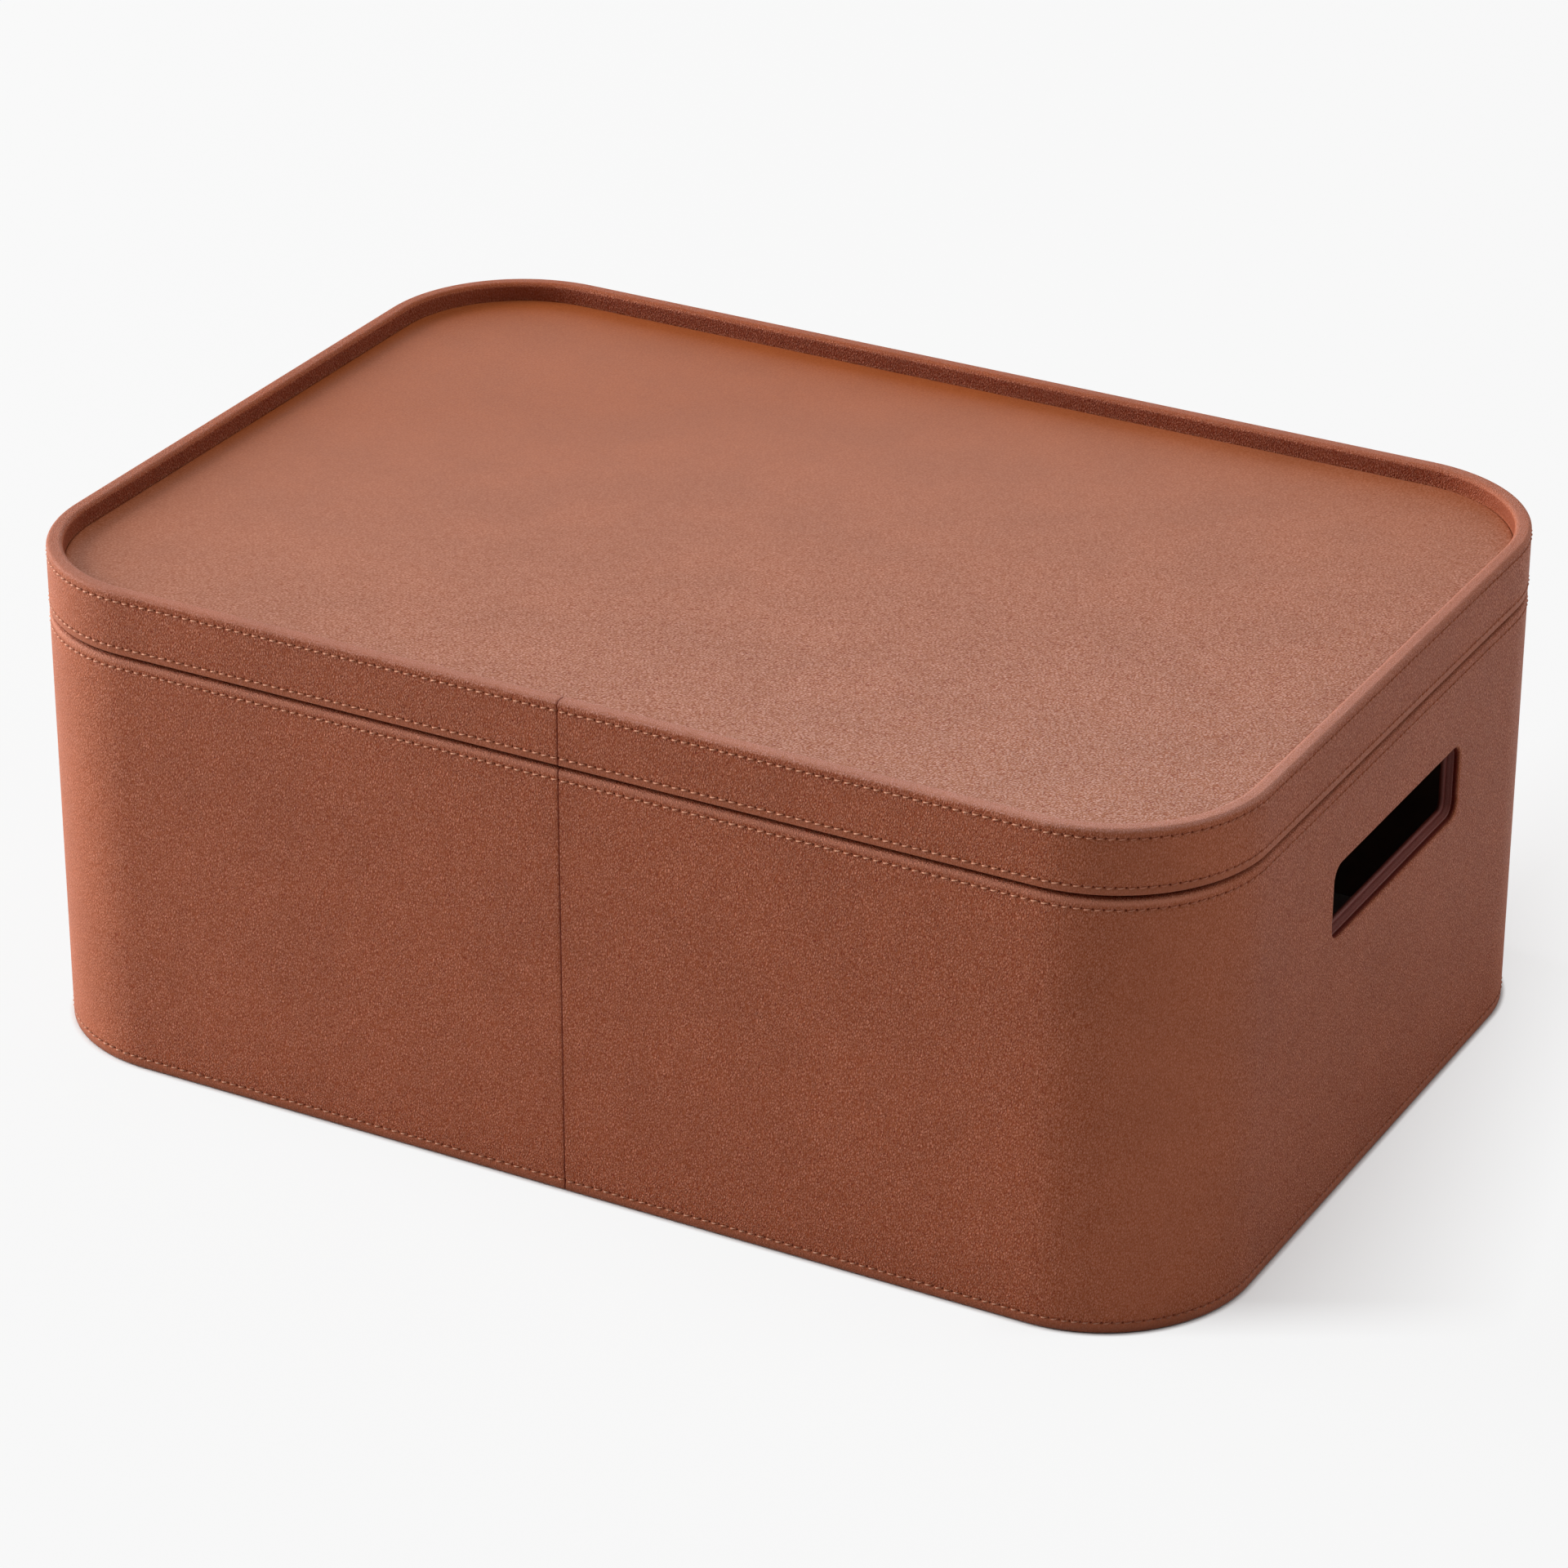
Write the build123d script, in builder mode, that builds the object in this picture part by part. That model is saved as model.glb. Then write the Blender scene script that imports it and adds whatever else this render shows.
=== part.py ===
from build123d import *
import os

# Leather-covered storage box: a rounded body with a hand slot in each end and a loose lid with a tray top.
# Millimetres. The origin is on the floor under the middle of the box, with +X along its length, +Y to its
# back and +Z up. Insets are measured inwards from the outer leather face, seen from above.

# Whole box
box_length = 430.0
box_width = 300.0
corner_radius = 52.0
body_height = 150.5
shadow_gap = 1.2
lid_height = 21.9

# Leather cover
leather_thickness = 1.2
hem_lift = 0.2
hem_width = 12.0
foot_roll = 0.7
seam_gap = 0.3

# Body boards and linings
wall_board_thickness = 3.6
board_edge_round = 0.3
wall_lining_thickness = 0.7
base_board_thickness = 4.0
floor_lining_thickness = 1.5
sole_clearance = 0.3

# Collar that stands up into the lid
collar_board_thickness = 2.0
collar_lining_thickness = 0.5
collar_edge_round = 0.5
collar_clearance = 0.5
collar_above_slot = 6.1

# Hand slots
slot_width = 100.0
slot_height = 26.0
slot_corner_radius = 5.0
slot_drop = 28.9
slot_offset = 6.0
slot_edge_roll = 1.05
slot_groove = 0.3
liner_thickness = 1.2
liner_recess = 2.0
liner_edge_round = 0.4
lip_height = 0.8
lip_length = 1.4
flange_width = 4.0
flange_thickness = 0.7

# Lid
tray_depth = 6.4
lid_board_thickness = 3.5
lid_lining_thickness = 0.6
rail_outer_round = 0.3
rail_inner_round = 0.6
lid_foot_roll = 0.6
tray_leather_clearance = 0.3
tray_leather_round = 0.5

# Stitching
thread_width = 0.5
thread_depth = 0.3
thread_proud = 0.15
body_top_row = 3.75
body_foot_row = 3.55
lid_rim_row = 3.2
lid_foot_row = 2.5

# Heights that follow
board_foot = hem_lift + leather_thickness
board_top = body_height - leather_thickness
floor_height = board_foot + base_board_thickness
lid_foot = body_height + shadow_gap
lid_top = lid_foot + lid_height
rail_foot = lid_foot + leather_thickness
rail_top = lid_top - leather_thickness
tray_floor = lid_top - tray_depth
lid_board_top = tray_floor - leather_thickness
lid_board_foot = lid_board_top - lid_board_thickness
collar_top = lid_board_foot - lid_lining_thickness
slot_top = body_height - slot_drop
slot_middle = slot_top - slot_height / 2
collar_foot = slot_top + collar_above_slot

# Insets that follow
board_inner = leather_thickness + wall_board_thickness
wall_inner = board_inner + wall_lining_thickness
collar_board_outer = wall_inner + collar_lining_thickness
collar_board_inner = collar_board_outer + collar_board_thickness
collar_inner = collar_board_inner + collar_lining_thickness
lid_inner = wall_inner - collar_clearance
rail_inner = lid_inner - lid_lining_thickness
rim_inner = rail_inner + leather_thickness
liner_bore = slot_groove + liner_thickness

# Straight stretches between the corners
straight_length = box_length - 2 * corner_radius
straight_width = box_width - 2 * corner_radius


def footprint(inset, mode=Mode.ADD):
    """Outline of the box seen from above, set in from the outer leather face."""
    return RectangleRounded(
        box_length - 2 * inset, box_width - 2 * inset, corner_radius - inset, mode=mode
    )


def band(outer_inset, inner_inset):
    """Closed band between two insets, seen from above."""
    footprint(outer_inset)
    footprint(inner_inset, Mode.SUBTRACT)


def cell(column, row):
    """Keeps one straight stretch or one corner of a band; column and row are -1, 0 or 1."""
    x_size = corner_radius if column else straight_length
    y_size = corner_radius if row else straight_width
    x_middle = column * (straight_length + corner_radius) / 2
    y_middle = row * (straight_width + corner_radius) / 2
    with Locations((x_middle, y_middle)):
        Rectangle(x_size, y_size, mode=Mode.INTERSECT)


def slot_outline(margin, mode=Mode.ADD):
    """Outline of the hand slots on a plane across the box, set in from the leather's cut edge."""
    with Locations((slot_offset, slot_middle)):
        return RectangleRounded(
            slot_width - 2 * margin, slot_height - 2 * margin, slot_corner_radius - margin, mode=mode
        )


def seam_slit():
    """Gap between a leather band's two ends at the middle of the front, seen from above."""
    with Locations((0, -box_width / 2)):
        Rectangle(seam_gap, 2 * hem_width + seam_gap)


# The eight stretches of a wall, by the middle of the cell that each one fills
wall_cells = {
    "front": (0, -1),
    "back": (0, 1),
    "left": (-1, 0),
    "right": (1, 0),
    "front_left": (-1, -1),
    "front_right": (1, -1),
    "back_left": (-1, 1),
    "back_right": (1, 1),
}

os.makedirs("parts", exist_ok=True)

# Sole: the thin pad that the box stands on, inside the leather's turned-in hem
with BuildPart() as sole:
    with BuildSketch():
        footprint(hem_width + sole_clearance)
    extrude(amount=board_foot)
sole.part.label = "sole"
export_step(sole.part, "parts/sole.step")

# Base board, glued in between the walls
with BuildPart() as base_board:
    with BuildSketch(Plane.XY.offset(board_foot)):
        footprint(board_inner)
    extrude(amount=base_board_thickness)
base_board.part.label = "base_board"
export_step(base_board.part, "parts/base_board.step")

# The body's wall in one piece, before it is cut into boards and corner blocks
with BuildPart() as body_wall:
    with BuildSketch(Plane.XY.offset(board_foot)):
        band(leather_thickness, board_inner)
    extrude(amount=board_top - board_foot)
    fillet(body_wall.faces().sort_by(Axis.Z)[-1].outer_wire().edges(), board_edge_round)
    with BuildSketch(Plane.YZ):
        slot_outline(slot_groove)
    extrude(amount=box_length, both=True, mode=Mode.SUBTRACT)

# Body boards and corner blocks
for place, (column, row) in wall_cells.items():
    kind = "corner" if column and row else "board"
    with BuildPart() as board:
        add(body_wall)
        with BuildSketch():
            footprint(0)
            cell(column, row)
        extrude(amount=body_height, mode=Mode.INTERSECT)
    board.part.label = f"body_{place}_{kind}"
    export_step(board.part, f"parts/body_{place}_{kind}.step")

# The body's leather in one piece: rolled over the wall's top, down the outside and under the foot
with BuildPart() as body_cover:
    with BuildSketch(Plane.XY.offset(hem_lift)):
        footprint(0)
    extrude(amount=body_height - hem_lift)
    fillet(body_cover.faces().sort_by(Axis.Z)[-1].edges(), board_edge_round + leather_thickness)
    fillet(body_cover.faces().sort_by(Axis.Z)[0].edges(), foot_roll)
    with BuildPart(mode=Mode.PRIVATE) as board_room:
        with BuildSketch(Plane.XY.offset(board_foot)):
            footprint(leather_thickness)
        extrude(amount=board_top - board_foot)
        fillet(board_room.faces().sort_by(Axis.Z)[-1].edges(), board_edge_round)
    add(board_room, mode=Mode.SUBTRACT)
    with BuildSketch(Plane.XY.offset(hem_lift)):
        footprint(hem_width)
    extrude(amount=leather_thickness, mode=Mode.SUBTRACT)
    with BuildSketch(Plane.XY.offset(board_top)):
        footprint(wall_inner)
    extrude(amount=leather_thickness, mode=Mode.SUBTRACT)
    for row_height in (hem_lift + body_foot_row, body_height - body_top_row):
        with BuildSketch(Plane.XY.offset(row_height - thread_width / 2)):
            band(-leather_thickness, thread_depth)
        extrude(amount=thread_width, mode=Mode.SUBTRACT)
    with BuildSketch(Plane.YZ):
        slot_outline(0)
    extrude(amount=box_length, both=True, mode=Mode.SUBTRACT)
    end_faces = body_cover.faces().filter_by(Axis.X).sort_by(SortBy.AREA)[-4:]
    outer_ends = end_faces.sort_by(Axis.X)
    slot_edges = outer_ends[0].inner_wires()[0].edges() + outer_ends[-1].inner_wires()[0].edges()
    fillet(slot_edges, slot_edge_roll)

# Body leather: one band, whose ends meet in a seam at the middle of the front
with BuildPart() as body_leather:
    add(body_cover)
    with BuildSketch(Plane.XY.offset(hem_lift)):
        seam_slit()
    extrude(amount=body_height - hem_lift, mode=Mode.SUBTRACT)
body_leather.part.label = "body_leather"
export_step(body_leather.part, "parts/body_leather.step")

# Wall lining, from the base board up to the leather that is rolled over the wall's top
with BuildPart() as wall_lining:
    with BuildSketch(Plane.XY.offset(floor_height)):
        band(board_inner, wall_inner)
    extrude(amount=board_top - floor_height)
    with BuildSketch(Plane.YZ):
        slot_outline(slot_groove)
    extrude(amount=box_length, both=True, mode=Mode.SUBTRACT)
wall_lining.part.label = "wall_lining"
export_step(wall_lining.part, "parts/wall_lining.step")

# Floor lining
with BuildPart() as floor_lining:
    with BuildSketch(Plane.XY.offset(floor_height)):
        footprint(wall_inner)
    extrude(amount=floor_lining_thickness)
floor_lining.part.label = "floor_lining"
export_step(floor_lining.part, "parts/floor_lining.step")

# Hand slot liners: a leather tube through the end wall, with a flange on the lining and a raised inner lip
for side, name in ((1, "right_slot_liner"), (-1, "left_slot_liner")):
    end_face = side * box_length / 2
    with BuildPart() as slot_liner:
        with BuildSketch(Plane.YZ.offset(end_face - side * liner_recess)):
            slot_outline(slot_groove)
            slot_outline(liner_bore, Mode.SUBTRACT)
        extrude(amount=side * (liner_recess - wall_inner - flange_thickness))
        with BuildSketch(Plane.YZ.offset(end_face - side * wall_inner)):
            slot_outline(slot_groove - flange_width)
            slot_outline(liner_bore, Mode.SUBTRACT)
        extrude(amount=-side * flange_thickness)
        with BuildSketch(Plane.YZ.offset(end_face - side * (wall_inner + flange_thickness))):
            slot_outline(slot_groove)
            slot_outline(liner_bore + lip_height, Mode.SUBTRACT)
        extrude(amount=side * lip_length)
        faces_inwards = slot_liner.faces().filter_by(Axis.X).sort_by(Axis.X, reverse=side > 0)
        fillet(faces_inwards[0].edges(), liner_edge_round)
        fillet(faces_inwards[-1].inner_wires()[0].edges(), liner_edge_round)
    slot_liner.part.label = name
    export_step(slot_liner.part, f"parts/{name}.step")

# The collar in one piece, glued to the wall lining above the hand slots, before it is cut
with BuildPart() as collar_ring:
    with BuildSketch(Plane.XY.offset(collar_foot)):
        band(collar_board_outer, collar_board_inner)
    extrude(amount=collar_top - collar_lining_thickness - collar_foot)
    fillet(collar_ring.faces().sort_by(Axis.Z)[-1].edges(), collar_edge_round)

# Collar boards and corner blocks
for place, (column, row) in wall_cells.items():
    kind = "corner" if column and row else "board"
    with BuildPart() as collar_piece:
        add(collar_ring)
        with BuildSketch(Plane.XY.offset(collar_foot)):
            footprint(0)
            cell(column, row)
        extrude(amount=collar_top - collar_foot, mode=Mode.INTERSECT)
    collar_piece.part.label = f"collar_{place}_{kind}"
    export_step(collar_piece.part, f"parts/collar_{place}_{kind}.step")

# Collar lining, folded over the collar boards
with BuildPart() as collar_lining:
    with BuildSketch(Plane.XY.offset(collar_foot)):
        band(wall_inner, collar_inner)
    extrude(amount=collar_top - collar_foot)
    fillet(
        collar_lining.faces().sort_by(Axis.Z)[-1].edges(), collar_edge_round + collar_lining_thickness
    )
    add(collar_ring, mode=Mode.SUBTRACT)
collar_lining.part.label = "collar_lining"
export_step(collar_lining.part, "parts/collar_lining.step")

# The lid's frame in one piece, before it is cut into rails and corner blocks
with BuildPart() as lid_frame:
    with BuildSketch(Plane.XY.offset(rail_foot)):
        band(leather_thickness, rail_inner)
    extrude(amount=rail_top - rail_foot)
    frame_top = lid_frame.faces().sort_by(Axis.Z)[-1]
    fillet(frame_top.outer_wire().edges(), rail_outer_round)
    frame_top = lid_frame.faces().sort_by(Axis.Z)[-1]
    fillet(frame_top.inner_wires()[0].edges(), rail_inner_round)

# Lid rails and corner blocks
for place, (column, row) in wall_cells.items():
    kind = "corner" if column and row else "rail"
    with BuildPart() as rail:
        add(lid_frame)
        with BuildSketch(Plane.XY.offset(lid_foot)):
            footprint(0)
            cell(column, row)
        extrude(amount=lid_height, mode=Mode.INTERSECT)
    rail.part.label = f"lid_{place}_{kind}"
    export_step(rail.part, f"parts/lid_{place}_{kind}.step")

# Lid board, glued in between the rails
with BuildPart() as lid_board:
    with BuildSketch(Plane.XY.offset(lid_board_foot)):
        footprint(rail_inner)
    extrude(amount=lid_board_thickness)
lid_board.part.label = "lid_board"
export_step(lid_board.part, "parts/lid_board.step")

# Leather of the lid's tray floor
with BuildPart() as lid_top_leather:
    with BuildSketch(Plane.XY.offset(lid_board_top)):
        footprint(rim_inner + tray_leather_clearance)
    extrude(amount=leather_thickness)
    fillet(lid_top_leather.faces().sort_by(Axis.Z)[-1].edges(), tray_leather_round)
lid_top_leather.part.label = "lid_top_leather"
export_step(lid_top_leather.part, "parts/lid_top_leather.step")

# The lid band's leather in one piece: under the rails, up the outside, over the rim and down to the board
with BuildPart() as lid_cover:
    with BuildSketch(Plane.XY.offset(lid_foot)):
        footprint(0)
    extrude(amount=lid_height)
    fillet(lid_cover.faces().sort_by(Axis.Z)[-1].edges(), rail_outer_round + leather_thickness)
    fillet(lid_cover.faces().sort_by(Axis.Z)[0].edges(), lid_foot_roll)
    with BuildSketch(Plane.XY.offset(lid_board_top)):
        footprint(rim_inner)
    extrude(amount=lid_top - lid_board_top, mode=Mode.SUBTRACT)
    rim_top = lid_cover.faces().sort_by(Axis.Z)[-1]
    fillet(rim_top.inner_wires()[0].edges(), rail_inner_round + leather_thickness)
    add(lid_frame, mode=Mode.SUBTRACT)
    with BuildSketch(Plane.XY.offset(rail_foot)):
        footprint(rail_inner)
    extrude(amount=lid_board_top - rail_foot, mode=Mode.SUBTRACT)
    with BuildSketch(Plane.XY.offset(lid_foot)):
        footprint(lid_inner)
    extrude(amount=leather_thickness, mode=Mode.SUBTRACT)
    for row_height in (lid_foot + lid_foot_row, lid_top - lid_rim_row):
        with BuildSketch(Plane.XY.offset(row_height - thread_width / 2)):
            band(-leather_thickness, thread_depth)
        extrude(amount=thread_width, mode=Mode.SUBTRACT)

# Lid band leather, with the same seam as the body
with BuildPart() as lid_band_leather:
    add(lid_cover)
    with BuildSketch(Plane.XY.offset(lid_foot)):
        seam_slit()
    extrude(amount=lid_height, mode=Mode.SUBTRACT)
lid_band_leather.part.label = "lid_band_leather"
export_step(lid_band_leather.part, "parts/lid_band_leather.step")

# Lid lining: the underside of the lid board and the inside of the rails
with BuildPart() as lid_lining:
    with BuildSketch(Plane.XY.offset(rail_foot)):
        footprint(rail_inner)
    extrude(amount=lid_board_foot - rail_foot)
    with BuildSketch(Plane.XY.offset(rail_foot)):
        footprint(lid_inner)
    extrude(amount=collar_top - rail_foot, mode=Mode.SUBTRACT)
lid_lining.part.label = "lid_lining"
export_step(lid_lining.part, "parts/lid_lining.step")

# Stitching: one thread in each groove of the leather
stitch_rows = {
    "body_top_stitching": body_height - body_top_row,
    "body_foot_stitching": hem_lift + body_foot_row,
    "lid_rim_stitching": lid_top - lid_rim_row,
    "lid_foot_stitching": lid_foot + lid_foot_row,
}
for name, row_height in stitch_rows.items():
    with BuildPart() as stitching:
        with BuildSketch(Plane.XY.offset(row_height - thread_width / 2)):
            band(-thread_proud, thread_depth)
        extrude(amount=thread_width)
    stitching.part.label = name
    export_step(stitching.part, f"parts/{name}.step")
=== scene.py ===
import math

import bmesh
import bpy
import numpy as np
from mathutils import Matrix, Vector


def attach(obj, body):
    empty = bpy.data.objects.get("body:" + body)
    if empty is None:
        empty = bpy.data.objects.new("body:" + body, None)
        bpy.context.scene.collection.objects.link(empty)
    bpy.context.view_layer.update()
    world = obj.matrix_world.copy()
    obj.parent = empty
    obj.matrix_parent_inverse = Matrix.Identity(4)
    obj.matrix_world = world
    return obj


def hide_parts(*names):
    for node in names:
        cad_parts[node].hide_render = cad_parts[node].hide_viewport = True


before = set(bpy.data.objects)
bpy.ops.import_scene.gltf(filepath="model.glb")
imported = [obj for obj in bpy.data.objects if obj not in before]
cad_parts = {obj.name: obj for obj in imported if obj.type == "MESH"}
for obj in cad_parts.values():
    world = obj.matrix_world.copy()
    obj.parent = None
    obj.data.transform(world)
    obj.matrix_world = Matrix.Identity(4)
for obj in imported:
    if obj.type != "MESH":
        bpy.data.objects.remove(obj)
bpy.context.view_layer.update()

# Leather-covered storage box. Metres, in the frame of the CAD model: the origin is on the floor under the
# middle of the box, +X runs along its length, +Y to its back and +Z up. Insets are measured inwards from the
# outer leather face, seen from above.
mm = 0.001
tolerance = 0.01 * mm
merge_distance = 0.0001 * mm

# Whole box, as in the CAD model
box_length = 430 * mm
box_width = 300 * mm
corner_radius = 52 * mm
body_height = 150.5 * mm
shadow_gap = 1.2 * mm
lid_height = 21.9 * mm

# Leather cover of the body
leather = 1.2 * mm
hem_lift = 0.2 * mm
hem_width = 12 * mm
foot_roll = 0.7 * mm
body_inner_roll = 0.6 * mm

# Body boards, linings and sole
wall_board_thickness = 3.6 * mm
wall_board_round = 0.3 * mm
wall_lining_thickness = 0.7 * mm
base_board_thickness = 4 * mm
floor_lining_thickness = 1.5 * mm
sole_clearance = 0.3 * mm

# Collar that stands up into the lid
collar_board_thickness = 2 * mm
collar_board_round = 0.5 * mm
collar_lining_thickness = 0.5 * mm
collar_clearance = 0.5 * mm
collar_above_slot = 6.1 * mm

# Hand slots
slot_width = 100 * mm
slot_height = 26 * mm
slot_radius = 5 * mm
slot_drop = 28.9 * mm
slot_offset = 6 * mm
slot_groove = 0.3 * mm
liner_thickness = 1.2 * mm
liner_recess = 2.0 * mm
lip_height = 0.8 * mm
lip_length = 1.4 * mm
flange_width = 4 * mm
flange_thickness = 0.7 * mm

# Lid
tray_depth = 6.4 * mm
lid_board_thickness = 3.5 * mm
lid_lining_thickness = 0.6 * mm
rail_outer_round = 0.3 * mm
rail_inner_round = 0.6 * mm

# The lid's lower edge and the gap round its tray, both closed tighter than in the CAD model
lid_foot_roll = 0.4 * mm
tray_gap = 0.12 * mm

# Heights that follow
base_board_foot = hem_lift + leather
base_board_top = base_board_foot + base_board_thickness
floor_lining_top = base_board_top + floor_lining_thickness
sole_height = base_board_foot
wall_board_top = body_height - leather
lid_foot = body_height + shadow_gap
lid_top = lid_foot + lid_height
rail_foot = lid_foot + leather
rail_top = lid_top - leather
tray_floor = lid_top - tray_depth
lid_board_top = tray_floor - leather
lid_board_foot = lid_board_top - lid_board_thickness
collar_top = lid_board_foot - lid_lining_thickness
slot_top = body_height - slot_drop
slot_middle = slot_top - slot_height / 2
collar_foot = slot_top + collar_above_slot

# Insets that follow
wall_board_inner = leather + wall_board_thickness
wall_inner = wall_board_inner + wall_lining_thickness
collar_inner = wall_inner + 2 * collar_lining_thickness + collar_board_thickness
lid_inner = wall_inner - collar_clearance
rail_inner = lid_inner - lid_lining_thickness
rim_inner = rail_inner + leather
sole_inset = hem_width + sole_clearance
liner_bore = slot_groove + liner_thickness

# Rounded edges that follow, where leather or suede lies over a rounded board
body_top_roll = leather + wall_board_round
rim_outer_roll = leather + rail_outer_round
rim_inner_roll = leather + rail_inner_round
collar_roll = collar_lining_thickness + collar_board_round

# Seam of each leather band at the middle of the front: its right-hand edge laps over its left-hand edge. The
# dark reaches say how far painted shade spreads from each edge into the groove
seam_gap = 0.03 * mm
seam_lap_round = 0.3 * mm
seam_lap_raise = 0.08 * mm
seam_lap_reach = 1.2 * mm
seam_lap_dark = 0.16 * mm
seam_sink_round = 0.2 * mm
seam_sink = 0.16 * mm
seam_sink_reach = 0.8 * mm
seam_sink_dark = 0.5 * mm

# Rows of stitching, as heights
body_top_row = body_height - 3.75 * mm
body_foot_row = hem_lift + 3.55 * mm
lid_rim_row = lid_top - 3.2 * mm
lid_foot_row = lid_foot + 2.5 * mm

# Stitches: their size and form, and how each one varies at random
stitches_per_half = 208
thread_steps = 12
thread_sides = 8
thread_width = 0.5 * mm
thread_height = 0.5 * mm
stitch_span = 2.2 * mm
stitch_slope = math.tan(math.radians(11))
stitch_bow = 0.06 * mm
thread_stand = 0.06 * mm
thread_end = -0.42 * mm
arch_fullness = 0.6
bow_middle = 0.6
tip_thickness = 0.3
tip_lead = 0.65
strand_shift = 0.37
place_spread = 0.05 * mm
span_spread = 0.04
slope_spread = 0.15
rise_spread = 0.03 * mm

# How the thread pulls the leather in along each row and at each hole
pinch_depth = 0.1 * mm
pinch_reach = 1.5 * mm
bed_depth = 0.08 * mm
bed_reach = 0.35 * mm
hole_depth = 0.5 * mm
hole_length = 0.32 * mm
hole_height = 0.35 * mm
hole_rise = 0.14 * mm

# Shade on the inside of the rim
rim_shade = 0.42
rim_shade_margin = 0.1 * mm

# Part of the end walls that is meshed round the hand slot
window_width = 124 * mm
window_height = 44 * mm
window_rows = 6

# Lengths along the outer outline, from the front seam to the back
straight_half = box_length / 2 - corner_radius
straight_end = box_width - 2 * corner_radius
corner_length = math.pi / 2 * corner_radius
half_length = 2 * straight_half + straight_end + 2 * corner_length
stitch_pitch = half_length / stitches_per_half
slot_station = straight_half + corner_length + straight_end / 2 + slot_offset
slot_stations = (slot_station, 2 * half_length - slot_station)

# Lengths along the hand slot's outline
slot_flat = slot_width - 2 * slot_radius
slot_upright = slot_height - 2 * slot_radius
slot_corner = math.pi / 2 * slot_radius
slot_side = slot_flat + 2 * slot_corner


# Outlines and cross-sections

def place(station, inset):
    """Points seen from above. Station runs anticlockwise along the outer outline from the middle of the
    front, twice half_length for the whole round."""
    station = np.asarray(station, float)
    mirrored = station > half_length
    run = np.where(mirrored, 2 * half_length - station, station)
    first_corner = straight_half
    last_corner = straight_half + corner_length + straight_end
    turned = np.clip(run - first_corner, 0, corner_length) + np.clip(run - last_corner, 0, corner_length)
    angle = turned / corner_radius - math.pi / 2
    middle_x = np.clip(run, 0, straight_half) - np.clip(run - last_corner - corner_length, 0, straight_half)
    middle_y = np.clip(run - first_corner - corner_length, 0, straight_end) - straight_end / 2
    reach = corner_radius - inset
    x = middle_x + reach * np.cos(angle)
    y = middle_y + reach * np.sin(angle)
    return np.where(mirrored, -x, x), y


def round_stations(along, turn, across):
    """Stations for the whole round, with so many steps for the front, each corner and each end."""
    lengths = [straight_half, corner_length, straight_end, corner_length, straight_half]
    counts = [along // 2, turn, across, turn, along // 2]
    stations = []
    start = 0
    for length, count in zip(lengths * 2, counts * 2):
        stations.extend(start + length * k / count for k in range(count))
        start += length
    return np.array(stations)


def slot_place(distance, margin):
    """Points of the hand slot's outline in the wall: along the wall and up from the slot's middle. Distance
    runs anticlockwise, seen from outside, from the foot of the near upright side; margin is measured into the
    slot."""
    flats = [slot_corner, 3 * slot_corner + slot_flat + slot_upright]
    uprights = [2 * slot_corner + slot_flat, 4 * slot_corner + 2 * slot_flat + slot_upright]
    starts = [start - slot_corner for start in flats + uprights]
    turned = sum(np.clip(distance - start, 0, slot_corner) for start in starts)
    angle = math.pi + turned / slot_radius
    there, back = (np.clip(distance - start, 0, slot_flat) for start in flats)
    up, down = (np.clip(distance - start, 0, slot_upright) for start in uprights)
    reach = slot_radius - margin
    along = there - back - slot_flat / 2 + reach * np.cos(angle)
    return along, up - down - slot_upright / 2 + reach * np.sin(angle)


def arc(middle_inset, middle_height, radius, start, end, steps):
    """Points of an arc in a cross-section; 0 degrees points inwards and 90 degrees up."""
    turns = np.radians(np.linspace(start, end, steps + 1))
    return [
        (middle_inset + radius * math.cos(turn), middle_height + radius * math.sin(turn)) for turn in turns
    ]


def rows_at(inset, *heights):
    """Rows of a wall at such heights."""
    return [(inset, height) for height in heights]


def rows_round(height, offsets):
    """Rows of the outer leather face close to a line of stitching; offsets are in millimetres."""
    return rows_at(0, *(height + offset * mm for offset in offsets))


def window_rows_at(inset):
    """Rows of an end wall beside the hand slot."""
    return rows_at(inset, *np.linspace(-window_height / 2, window_height / 2, window_rows + 1) + slot_middle)


# Meshes

def make_object(name, points, faces, sharp_angle=40, **values):
    """An object from points and faces, tidied and shaded smooth. Values are numbers kept for each point,
    which its material reads."""
    mesh = bpy.data.meshes.new(name)
    mesh.from_pydata([tuple(p) for p in points], [], faces)
    for key, numbers in values.items():
        kept = np.zeros(len(points), np.float32)
        kept[: len(numbers)] = numbers
        mesh.attributes.new(key, "FLOAT", "POINT").data.foreach_set("value", kept)
    tidied = bmesh.new()
    tidied.from_mesh(mesh)
    bmesh.ops.delete(tidied, geom=[v for v in tidied.verts if not v.link_faces], context="VERTS")
    bmesh.ops.remove_doubles(tidied, verts=tidied.verts, dist=merge_distance)
    bmesh.ops.recalc_face_normals(tidied, faces=tidied.faces)
    tidied.to_mesh(mesh)
    tidied.free()
    mesh.shade_smooth()
    mesh.set_sharp_from_angle(angle=math.radians(sharp_angle))
    made = bpy.data.objects.new(name, mesh)
    bpy.context.scene.collection.objects.link(made)
    return made


def section_normals(section):
    """Outward directions at the points of a closed cross-section."""
    points = np.array(section)
    tangent = np.roll(points, -1, axis=0) - np.roll(points, 1, axis=0)
    tangent /= np.maximum(np.linalg.norm(tangent, axis=1), 1e-9)[:, None]
    return np.stack([-tangent[:, 1], tangent[:, 0]], axis=1)


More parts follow.
